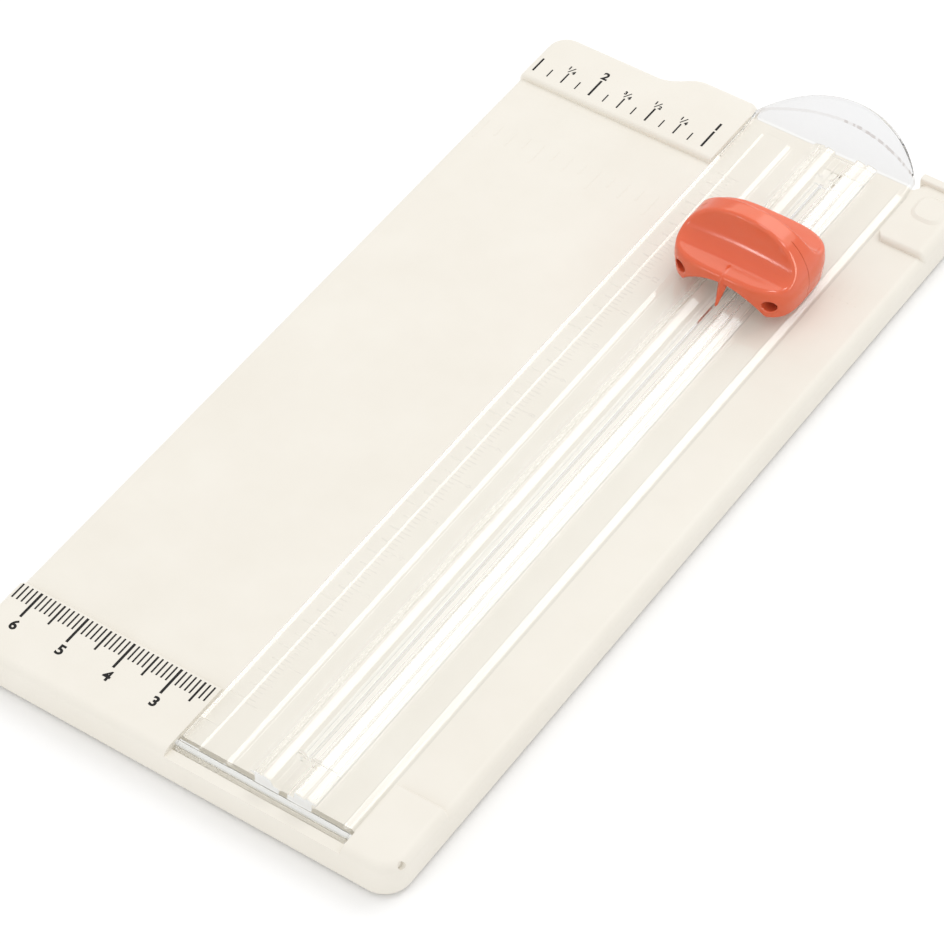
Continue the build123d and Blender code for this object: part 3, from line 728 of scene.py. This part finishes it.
# fine marks moulded into the rail's wing
bits = []
for k in range(0, 151):
    ln = 2.5 if k % 10 == 0 else 1.9 if k % 5 == 0 else 1.3
    bits.append(bar(-16.75, -16.75 + ln, k - 0.09, k + 0.09, 0.38, 0.455))
    if k % 10 == 0 and 0 < k < 150:
        for i, ch in enumerate(str(k // 10)):
            bits.append(glyph(ch, -13.3, k + 0.75 * (i - (len(str(k // 10)) - 1) / 2), 1.3, 0.40, 0.455, turn=math.pi / 2, bold=0.0))
joined("rail_metric_marks", bits, FROST, "rail")
bits = []
for k in range(0, 48):
    y = 3.175 * k + 0.8
    ln = 2.9 if k % 8 == 0 else 2.2 if k % 4 == 0 else 1.7 if k % 2 == 0 else 1.2
    z = 0.412 - 0.07 * (0.12 + ln / 2)
    bits.append(bar(-17.6 - ln, -17.6, y - 0.1, y + 0.1, z - 0.25, z + 0.035))
joined("rail_inch_marks", bits, FROST, "rail")

# ------------------------------------------------------------------ stage and light
floor_me = bpy.data.meshes.new("floor")
s = 6.0
floor_me.from_pydata([(-s, -s, 0), (s, -s, 0), (s, s, 0), (-s, s, 0)], [], [(0, 1, 2, 3)])
floor = bpy.data.objects.new("floor", floor_me)
scene.collection.objects.link(floor)
fm, fnt, fout = new_mat("pale_floor")
fb = fnt.nodes.new("ShaderNodeBsdfPrincipled")
fb.inputs["Base Color"].default_value = (0.97, 0.97, 0.97, 1.0)
fb.inputs["Roughness"].default_value = 0.9
fb.inputs["Specular IOR Level"].default_value = 0.1
link(fnt, fb.outputs["BSDF"], fout.inputs["Surface"])
floor_me.materials.append(fm)

world = bpy.data.worlds.new("studio")
scene.world = world
world.use_nodes = True
bg = world.node_tree.nodes.get("Background")
bg.inputs["Color"].default_value = (1.0, 1.0, 1.0, 1.0)
bg.inputs["Strength"].default_value = 0.94


def area(name, loc, target, size, power, colour=(1, 1, 1), size_y=None):
    d = bpy.data.lights.new(name, "AREA")
    d.energy = power
    d.color = colour
    d.size = size
    if size_y:
        d.shape = "RECTANGLE"
        d.size_y = size_y
    o = bpy.data.objects.new(name, d)
    scene.collection.objects.link(o)
    o.location = loc
    o.rotation_mode = "QUATERNION"
    o.rotation_quaternion = (Vector(target) - Vector(loc)).to_track_quat("-Z", "Y")
    return o


area("key", (0.16, 0.66, 1.0), (0, 0, 0), 0.8, 3.2)
area("fill", (-0.5, -1.1, 0.6), (0, 0, 0), 0.8, 1.5).visible_glossy = False
# reflected boxes: a bright strip that the rail answers to, and soft and small ones for the grip
rail_only = bpy.data.collections.new("rail_light")
rail_only.objects.link(rail)
grip_only = bpy.data.collections.new("grip_light")
for o in (grip_front, grip_back):
    grip_only.objects.link(o)
for o, group in ((area("strip", (0.13, 0.66, 1.0), (0, 0, 0), 0.38, 5.6, size_y=0.6), rail_only),
                 (area("sheen", (-0.05, 0.75, 1.0), (0, 0, 0), 2.2, 7.5, colour=(1.0, 0.94, 0.82), size_y=0.65), grip_only),
                 (area("cheek", (1.1, 0.2, 0.3), (0, 0, 0), 0.8, 12.0, colour=(1.0, 0.94, 0.82)), grip_only),
                 (area("behind", (-0.1, 1.15, 0.45), (0, 0, 0), 0.8, 2.0, colour=(1.0, 0.94, 0.82)), grip_only),
                 (area("rim_a", (0.0, -0.05, 1.2), (0, 0.05, 0), 0.22, 5.0), grip_only),
                 (area("rim_b", (0.66, 0.0, 0.95), (0, 0.05, 0), 0.22, 5.0), grip_only),
                 (area("glint", (-0.40, -0.96, 0.12), (0, 0.05, 0.01), 0.05, 1.0, size_y=0.15), grip_only)):
    o.visible_diffuse = False
    o.light_linking.receiver_collection = group
top = area("top", (0.45, -0.05, 1.2), (0, 0.05, 0), 0.5, 2.6)
top.visible_glossy = False
top.light_linking.receiver_collection = grip_only

scene.view_settings.view_transform = "Standard"
scene.cycles.use_denoising = True
scene.cycles.max_bounces = 16
scene.cycles.transmission_bounces = 16
scene.cycles.transparent_max_bounces = 16
scene.cycles.sample_clamp_direct = 2.5
scene.cycles.sample_clamp_indirect = 2.5
scene.cycles.caustics_reflective = False
scene.cycles.caustics_refractive = False
